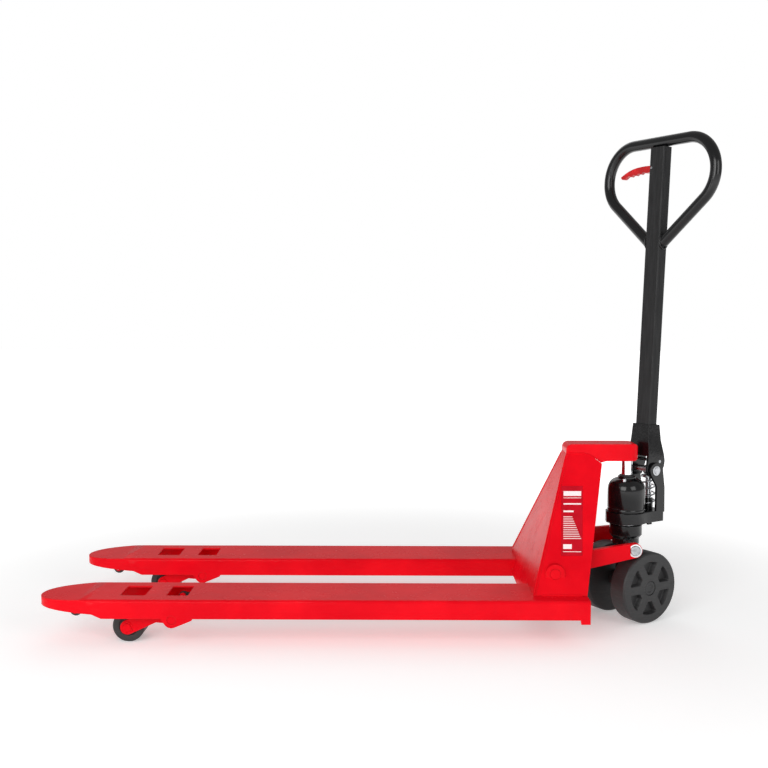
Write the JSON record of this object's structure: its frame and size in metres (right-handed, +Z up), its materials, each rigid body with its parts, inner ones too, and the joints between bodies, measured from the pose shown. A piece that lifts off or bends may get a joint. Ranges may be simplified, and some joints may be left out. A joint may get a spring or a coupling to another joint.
{
  "type": "pallet jack",
  "caption": "Manual hydraulic pallet jack: two red forks on load rollers, a tower over a steered pump unit on two wheels, and an upright handle with a looped grip and a hand lever.",
  "frame": {"origin": "middle of the bounding box, on the floor", "axes": "+X from the fork tips to the operator, +Y to the right of an operator who faces the forks, +Z up"},
  "size_m": [1.6316, 0.55, 1.225],
  "materials": {
    "red_paint": "glossy powder coat",
    "black_paint": "glossy powder coat",
    "grey_paint": "satin powder coat",
    "steel": "zinc plated",
    "chrome": "polished",
    "wheel_nylon": "moulded nylon",
    "roller_nylon": "turned nylon",
    "lever_plastic": "moulded, glossy",
    "label_film": "printed film with no lettering"
  },
  "bodies": {
    "bearing_block": {"bearing_block": "black_paint", "thrust_bearing": "steel"},
    "rocker": {"rocker_tube": "red_paint", "left_rocker_arm": "red_paint", "left_rocker_lever": "red_paint", "left_lever_pin": "steel", "left_arm_pin": "chrome", "right_rocker_arm": "red_paint", "right_rocker_lever": "red_paint", "right_lever_pin": "steel", "right_arm_pin": "chrome"},
    "fork_frame": {"left_fork": "red_paint", "left_side_plate": "red_paint", "left_arm_pivot": "steel", "left_entry_axle": "steel", "right_fork": "red_paint", "right_side_plate": "red_paint", "right_arm_pivot": "steel", "right_entry_axle": "steel", "front_plate": "red_paint", "tower_head": "red_paint", "lift_cup": "black_paint", "pivot_shaft": "steel", "name_plate": "label_film"},
    "pump": {"pump_body": "black_paint", "reservoir": "black_paint", "filler_plug": "steel", "spindle": "grey_paint", "steer_axle": "steel", "handle_shaft": "steel", "release_yoke": "black_paint", "release_pin": "steel", "plunger_spring": "steel"},
    "piston": {"piston_rod": "chrome"},
    "plunger": {"plunger": "steel"},
    "handle": {"handle_base": "black_paint", "handle_tube": "grey_paint", "handle_loop": "black_paint", "stop_pin": "steel", "pump_roller": "steel", "roller_pin": "steel", "lever_pin": "steel"},
    "control_lever": {"control_lever": "lever_plastic"},
    "pull_rod": {"pull_rod": "steel"},
    "release_lever": {"release_lever": "steel"},
    "left_steer_wheel": {"left_steer_wheel": "wheel_nylon", "left_wheel_cap": "wheel_nylon"},
    "left_roller_arm": {"left_roller_arm": "red_paint", "left_roller_axle": "steel"},
    "left_load_roller": {"left_load_roller": "roller_nylon"},
    "left_entry_roller": {"left_entry_roller": "roller_nylon"},
    "left_push_rod": {"left_push_rod": "grey_paint"},
    "right_steer_wheel": {"right_steer_wheel": "wheel_nylon", "right_wheel_cap": "wheel_nylon"},
    "right_roller_arm": {"right_roller_arm": "red_paint", "right_roller_axle": "steel"},
    "right_load_roller": {"right_load_roller": "roller_nylon"},
    "right_entry_roller": {"right_entry_roller": "roller_nylon"},
    "right_push_rod": {"right_push_rod": "grey_paint"}
  },
  "joints": [
    {"name": "lift", "type": "hinge", "parent": "bearing_block", "child": "rocker", "pos_m": [0.62521, 0, 0.194], "axis": [0, 1, 0], "range_deg": [-7.98, 20.5]},
    {"name": "frame_level", "type": "hinge", "parent": "rocker", "child": "fork_frame", "pos_m": [0.41471, 0, 0.16], "axis": [0, 1, 0], "range_deg": [-20.55, 8.03]},
    {"name": "steer", "type": "hinge", "parent": "bearing_block", "child": "pump", "pos_m": [0.62521, 0, 0.194], "axis": [0, 0, 1], "range_deg": [-122, 58]},
    {"name": "piston_slide", "type": "slide", "parent": "pump", "child": "piston", "axis": [0, 0, 1], "range_m": [-0.02962, 0.07577]},
    {"name": "handle", "type": "hinge", "parent": "pump", "child": "handle", "pos_m": [0.67609, 0.03179, 0.376], "axis": [-0.5299, 0.848, 0], "range_deg": [0, 70], "stiffness_Nm_per_rad": 45, "springref_deg": -28.65},
    {"name": "plunger_slide", "type": "slide", "parent": "pump", "child": "plunger", "axis": [0, 0, -1], "range_m": [0, 0.02439], "deforming": ["plunger_spring"]},
    {"name": "control_lever", "type": "hinge", "parent": "handle", "child": "control_lever", "pos_m": [0.69815, 0.06503, 1.14614], "axis": [0.8471, 0.5293, -0.0471], "range_deg": [-4, 4], "stiffness_Nm_per_rad": 3},
    {"name": "pull_rod_slide", "type": "slide", "parent": "handle", "child": "pull_rod", "axis": [0.0399, 0.025, 0.9989], "range_m": [-0.0008, 0.0008]},
    {"name": "release_lever", "type": "hinge", "parent": "pump", "child": "release_lever", "pos_m": [0.68966, 0.04027, 0.236], "axis": [-0.5299, 0.848, 0], "range_deg": [-4.1, 4.1]},
    {"name": "left_arm", "type": "hinge", "parent": "fork_frame", "child": "left_roller_arm", "pos_m": [-0.48879, -0.195, 0.066], "axis": [0, -1, 0], "range_deg": [-16.86, 43.15]},
    {"name": "left_load_roller_spin", "type": "hinge", "parent": "left_roller_arm", "child": "left_load_roller", "pos_m": [-0.60049, -0.195, 0.038], "axis": [0, 1, 0], "continuous": true},
    {"name": "left_entry_roller_spin", "type": "hinge", "parent": "fork_frame", "child": "left_entry_roller", "pos_m": [-0.72879, -0.195, 0.074], "axis": [0, 1, 0], "continuous": true},
    {"name": "left_push_rod_pivot", "type": "hinge", "parent": "rocker", "child": "left_push_rod", "pos_m": [0.42151, -0.165, 0.09837], "axis": [0, 1, 0], "range_deg": [-20.55, 8.03]},
    {"name": "left_wheel_spin", "type": "hinge", "parent": "pump", "child": "left_steer_wheel", "pos_m": [0.65912, -0.05427, 0.09], "axis": [-0.5299, 0.848, 0], "continuous": true},
    {"name": "right_arm", "type": "hinge", "parent": "fork_frame", "child": "right_roller_arm", "pos_m": [-0.48879, 0.195, 0.066], "axis": [0, -1, 0], "range_deg": [-16.86, 43.15]},
    {"name": "right_load_roller_spin", "type": "hinge", "parent": "right_roller_arm", "child": "right_load_roller", "pos_m": [-0.60049, 0.195, 0.038], "axis": [0, 1, 0], "continuous": true},
    {"name": "right_entry_roller_spin", "type": "hinge", "parent": "fork_frame", "child": "right_entry_roller", "pos_m": [-0.72879, 0.195, 0.074], "axis": [0, 1, 0], "continuous": true},
    {"name": "right_push_rod_pivot", "type": "hinge", "parent": "rocker", "child": "right_push_rod", "pos_m": [0.42151, 0.165, 0.09837], "axis": [0, 1, 0], "range_deg": [-20.55, 8.03]},
    {"name": "right_wheel_spin", "type": "hinge", "parent": "pump", "child": "right_steer_wheel", "pos_m": [0.59129, 0.05427, 0.09], "axis": [-0.5299, 0.848, 0], "continuous": true}
  ],
  "couplings": [
    {"joint": "frame_level", "follows": "lift", "ratio": -1},
    {"joint": "piston_slide", "follows": "lift", "m_per_rad": 0.2112},
    {"joint": "plunger_slide", "follows": "handle", "m_per_rad": 0.0198},
    {"joint": "pull_rod_slide", "follows": "control_lever", "m_per_rad": -0.0085},
    {"joint": "release_lever", "follows": "control_lever", "ratio": -1},
    {"joint": "left_arm", "follows": "lift", "ratio": 2.1},
    {"joint": "left_push_rod_pivot", "follows": "lift", "ratio": -1},
    {"joint": "right_arm", "follows": "lift", "ratio": 2.1},
    {"joint": "right_push_rod_pivot", "follows": "lift", "ratio": -1}
  ]
}
